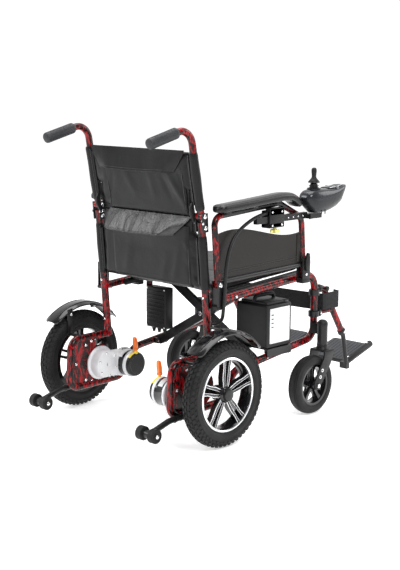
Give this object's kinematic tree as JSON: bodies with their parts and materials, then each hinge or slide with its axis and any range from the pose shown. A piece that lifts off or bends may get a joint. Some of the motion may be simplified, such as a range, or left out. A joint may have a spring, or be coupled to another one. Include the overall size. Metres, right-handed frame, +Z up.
{
  "type": "power wheelchair",
  "caption": "Folding power wheelchair with side joystick, padded seat and back, flip-up armrests, swing-away legrests and anti-tip rollers.",
  "frame": {"origin": "middle of the bounding box, on the floor the wheels stand on", "axes": "+Z up, -Y to the front, the sitter's right hand at -X, wheel axles along X"},
  "size_m": [0.7, 1.1392, 0.9372],
  "materials": {
    "black_steel": "satin black paint",
    "button_grey": "grey",
    "cable_black": "smooth",
    "case_black": "fine textured",
    "castor_mix": "black",
    "crackle_paint": "dark red and black marbled gloss paint",
    "foot_grey": "grey",
    "gear_alloy": "cast, light silver",
    "gloss_black": "gloss black",
    "grip_rubber": "ribbed matt",
    "knob_yellow": "yellow",
    "leatherette": "black with sheen",
    "lever_orange": "orange",
    "pad_black": "moulded black",
    "rim_black": "black with machined ring",
    "shell_grey": "metallic dark grey",
    "skirt_black": "moulded brown black",
    "strap_black": "woven",
    "tyre_black": "matt"
  },
  "bodies": {
    "right_frame": {"right_side_frame": "crackle_paint", "right_drive_motor": "gear_alloy", "right_fender": "gloss_black", "right_anti_tip_arm": "black_steel", "backrest_lower": "leatherette", "joystick_cable": "cable_black"},
    "left_frame": {"left_side_frame": "crackle_paint", "left_drive_motor": "gear_alloy", "left_fender": "gloss_black", "left_anti_tip_arm": "black_steel", "controller_box": "case_black"},
    "brace_a": {"cross_brace_a": "black_steel"},
    "brace_b": {"cross_brace_b": "black_steel", "seat_cushion": "leatherette"},
    "right_drive_wheel": {"right_drive_tyre": "tyre_black", "right_drive_rim": "rim_black"},
    "right_anti_tip_roller": {"right_anti_tip_wheels": "castor_mix"},
    "right_castor_fork": {"right_castor_fork": "black_steel"},
    "right_castor_wheel": {"right_castor_wheel": "castor_mix"},
    "right_brake_lever": {"right_brake_lever": "lever_orange"},
    "right_back_latch": {"right_back_latch": "case_black"},
    "right_armrest_lock": {"right_armrest_lock": "case_black"},
    "right_legrest_extension": {"right_legrest_extension": "black_steel"},
    "right_footplate": {"right_footplate": "foot_grey"},
    "left_drive_wheel": {"left_drive_tyre": "tyre_black", "left_drive_rim": "rim_black"},
    "left_anti_tip_roller": {"left_anti_tip_wheels": "castor_mix"},
    "left_castor_fork": {"left_castor_fork": "black_steel"},
    "left_castor_wheel": {"left_castor_wheel": "castor_mix"},
    "left_brake_lever": {"left_brake_lever": "lever_orange"},
    "left_back_latch": {"left_back_latch": "case_black"},
    "left_armrest_lock": {"left_armrest_lock": "case_black"},
    "left_legrest_extension": {"left_legrest_extension": "black_steel"},
    "left_footplate": {"left_footplate": "foot_grey"},
    "right_back": {"right_back_tube": "crackle_paint", "right_grip": "grip_rubber", "backrest_upper": "leatherette"},
    "left_back": {"left_back_tube": "crackle_paint", "left_grip": "grip_rubber"},
    "right_armrest": {"right_armrest_frame": "crackle_paint", "right_arm_pad": "pad_black", "right_skirt_panel": "skirt_black", "clamp_block": "case_black"},
    "left_armrest": {"left_armrest_frame": "crackle_paint", "left_arm_pad": "pad_black", "left_skirt_panel": "skirt_black"},
    "right_legrest": {"right_legrest_tube": "crackle_paint", "calf_strap": "strap_black"},
    "left_legrest": {"left_legrest_tube": "crackle_paint"},
    "joystick": {"joystick_arm": "black_steel", "joystick_housing": "shell_grey"},
    "joystick_gimbal": {"joystick_gimbal_ring": "black_steel"},
    "joystick_stick": {"joystick_stick": "case_black", "joystick_boot": "grip_rubber"},
    "joystick_button_1": {"joystick_button_1": "button_grey"},
    "joystick_button_2": {"joystick_button_2": "button_grey"},
    "joystick_button_3": {"joystick_button_3": "button_grey"},
    "joystick_button_4": {"joystick_button_4": "button_grey"},
    "clamp_knob": {"clamp_knob": "knob_yellow"},
    "battery": {"battery": "case_black"}
  },
  "joints": [
    {"name": "frame_fold", "type": "hinge", "parent": "right_frame", "child": "brace_a", "pos_m": [-0.2, 0.05356, 0.198], "axis": [0, -1, 0], "range_deg": [0, 33], "deforming": ["backrest_lower", "backrest_upper", "calf_strap", "seat_cushion"]},
    {"name": "brace_cross", "type": "hinge", "parent": "brace_a", "child": "brace_b", "pos_m": [0, 0.05356, 0.31489], "axis": [0, 1, 0], "range_deg": [0, 66]},
    {"name": "left_frame_hinge", "type": "hinge", "parent": "brace_b", "child": "left_frame", "pos_m": [0.2, 0.05356, 0.198], "axis": [0, -1, 0], "range_deg": [0, 33]},
    {"name": "right_drive_spin", "type": "hinge", "parent": "right_frame", "child": "right_drive_wheel", "pos_m": [-0.32, 0.31856, 0.16], "axis": [1, 0, 0], "continuous": true},
    {"name": "right_castor_swivel", "type": "hinge", "parent": "right_frame", "child": "right_castor_fork", "pos_m": [-0.275, -0.20844, 0.212], "axis": [0, 0, 1], "continuous": true},
    {"name": "right_castor_spin", "type": "hinge", "parent": "right_castor_fork", "child": "right_castor_wheel", "pos_m": [-0.275, -0.15044, 0.095], "axis": [1, 0, 0], "continuous": true},
    {"name": "right_anti_tip_spin", "type": "hinge", "parent": "right_frame", "child": "right_anti_tip_roller", "pos_m": [-0.2425, 0.54856, 0.0686], "axis": [1, 0, 0], "continuous": true},
    {"name": "right_brake_release", "type": "hinge", "parent": "right_frame", "child": "right_brake_lever", "pos_m": [-0.1415, 0.40356, 0.203], "axis": [0, 0, 1], "range_deg": [0, 90]},
    {"name": "right_back_latch_turn", "type": "hinge", "parent": "right_frame", "child": "right_back_latch", "pos_m": [-0.2054, 0.31756, 0.657], "axis": [1, 0, 0], "range_deg": [-25, 0], "stiffness_Nm_per_rad": 0.3, "springref_deg": 8},
    {"name": "right_armrest_flip", "type": "hinge", "parent": "right_frame", "child": "right_armrest", "pos_m": [-0.253, 0.27256, 0.47], "axis": [-1, 0, 0], "range_deg": [0, 90], "deforming": ["joystick_cable"]},
    {"name": "right_armrest_lock_turn", "type": "hinge", "parent": "right_frame", "child": "right_armrest_lock", "pos_m": [-0.269, -0.13044, 0.478], "axis": [1, 0, 0], "range_deg": [0, 40]},
    {"name": "right_legrest_swing", "type": "hinge", "parent": "right_frame", "child": "right_legrest", "pos_m": [-0.225, -0.22444, 0.35], "axis": [0, 0, -1], "range_deg": [0, 90], "deforming": ["calf_strap"]},
    {"name": "right_legrest_length", "type": "slide", "parent": "right_legrest", "child": "right_legrest_extension", "axis": [0, -0.5455, -0.8381], "range_m": [0, 0.035]},
    {"name": "right_footplate_flip", "type": "hinge", "parent": "right_legrest_extension", "child": "right_footplate", "pos_m": [-0.21, -0.42244, 0.1103], "axis": [0, -0.9578, 0.2873], "range_deg": [0, 95]},
    {"name": "left_drive_spin", "type": "hinge", "parent": "left_frame", "child": "left_drive_wheel", "pos_m": [0.32, 0.31856, 0.16], "axis": [1, 0, 0], "continuous": true},
    {"name": "left_castor_swivel", "type": "hinge", "parent": "left_frame", "child": "left_castor_fork", "pos_m": [0.275, -0.20844, 0.212], "axis": [0, 0, 1], "continuous": true},
    {"name": "left_castor_spin", "type": "hinge", "parent": "left_castor_fork", "child": "left_castor_wheel", "pos_m": [0.275, -0.15044, 0.095], "axis": [1, 0, 0], "continuous": true},
    {"name": "left_anti_tip_spin", "type": "hinge", "parent": "left_frame", "child": "left_anti_tip_roller", "pos_m": [0.2425, 0.54856, 0.0686], "axis": [1, 0, 0], "continuous": true},
    {"name": "left_brake_release", "type": "hinge", "parent": "left_frame", "child": "left_brake_lever", "pos_m": [0.1415, 0.23356, 0.203], "axis": [0, 0, 1], "range_deg": [0, 90]},
    {"name": "left_back_latch_turn", "type": "hinge", "parent": "left_frame", "child": "left_back_latch", "pos_m": [0.2054, 0.31756, 0.657], "axis": [1, 0, 0], "range_deg": [-25, 0], "stiffness_Nm_per_rad": 0.3, "springref_deg": 8},
    {"name": "left_armrest_flip", "type": "hinge", "parent": "left_frame", "child": "left_armrest", "pos_m": [0.253, 0.27256, 0.47], "axis": [-1, 0, 0], "range_deg": [0, 90]},
    {"name": "left_armrest_lock_turn", "type": "hinge", "parent": "left_frame", "child": "left_armrest_lock", "pos_m": [0.269, -0.13044, 0.478], "axis": [1, 0, 0], "range_deg": [0, 40]},
    {"name": "left_legrest_swing", "type": "hinge", "parent": "left_frame", "child": "left_legrest", "pos_m": [0.225, -0.22444, 0.35], "axis": [0, 0, 1], "range_deg": [0, 90], "deforming": ["calf_strap"]},
    {"name": "left_legrest_length", "type": "slide", "parent": "left_legrest", "child": "left_legrest_extension", "axis": [0, -0.5455, -0.8381], "range_m": [0, 0.035]},
    {"name": "left_footplate_flip", "type": "hinge", "parent": "left_legrest_extension", "child": "left_footplate", "pos_m": [0.21, -0.42244, 0.1103], "axis": [0, 0.9578, -0.2873], "range_deg": [0, 95]},
    {"name": "right_back_fold", "type": "hinge", "parent": "right_frame", "child": "right_back", "pos_m": [-0.225, 0.31656, 0.675], "axis": [-1, 0, 0], "range_deg": [0, 100]},
    {"name": "left_back_fold", "type": "hinge", "parent": "left_frame", "child": "left_back", "pos_m": [0.225, 0.31656, 0.675], "axis": [-1, 0, 0], "range_deg": [0, 100]},
    {"name": "joystick_arm_slide", "type": "slide", "parent": "right_armrest", "child": "joystick", "axis": [0, -1, 0], "range_m": [0, 0.05]},
    {"name": "clamp_knob_turn", "type": "hinge", "parent": "right_armrest", "child": "clamp_knob", "pos_m": [-0.272, 0.03756, 0.614], "axis": [0, 0, 1], "range_deg": [0, 270]},
    {"name": "joystick_tilt_fore_aft", "type": "hinge", "parent": "joystick", "child": "joystick_gimbal", "pos_m": [-0.29, -0.12844, 0.724], "axis": [1, 0, 0], "range_deg": [-16, 16], "stiffness_Nm_per_rad": 0.4},
    {"name": "joystick_tilt_side", "type": "hinge", "parent": "joystick_gimbal", "child": "joystick_stick", "pos_m": [-0.29, -0.12844, 0.724], "axis": [0, 1, 0], "range_deg": [-16, 16], "stiffness_Nm_per_rad": 0.4},
    {"name": "joystick_button_1_press", "type": "slide", "parent": "joystick", "child": "joystick_button_1", "axis": [0, 0, -1], "range_m": [0, 0.003], "stiffness_N_per_m": 600},
    {"name": "joystick_button_2_press", "type": "slide", "parent": "joystick", "child": "joystick_button_2", "axis": [0, 0, -1], "range_m": [0, 0.003], "stiffness_N_per_m": 600},
    {"name": "joystick_button_3_press", "type": "slide", "parent": "joystick", "child": "joystick_button_3", "axis": [0, 0, -1], "range_m": [0, 0.003], "stiffness_N_per_m": 600},
    {"name": "joystick_button_4_press", "type": "slide", "parent": "joystick", "child": "joystick_button_4", "axis": [0, 0, -1], "range_m": [0, 0.003], "stiffness_N_per_m": 600},
    {"name": "battery_slide", "type": "slide", "parent": "right_frame", "child": "battery", "axis": [-1, 0, 0], "range_m": [0, 0.14]}
  ],
  "couplings": [
    {"joint": "brace_cross", "follows": "frame_fold", "ratio": 2},
    {"joint": "left_frame_hinge", "follows": "frame_fold", "ratio": 1},
    {"joint": "left_back_fold", "follows": "right_back_fold", "ratio": 1},
    {"joint": "right_footplate_flip", "follows": "frame_fold", "ratio": 2.7879},
    {"joint": "left_footplate_flip", "follows": "frame_fold", "ratio": 2.7879}
  ]
}
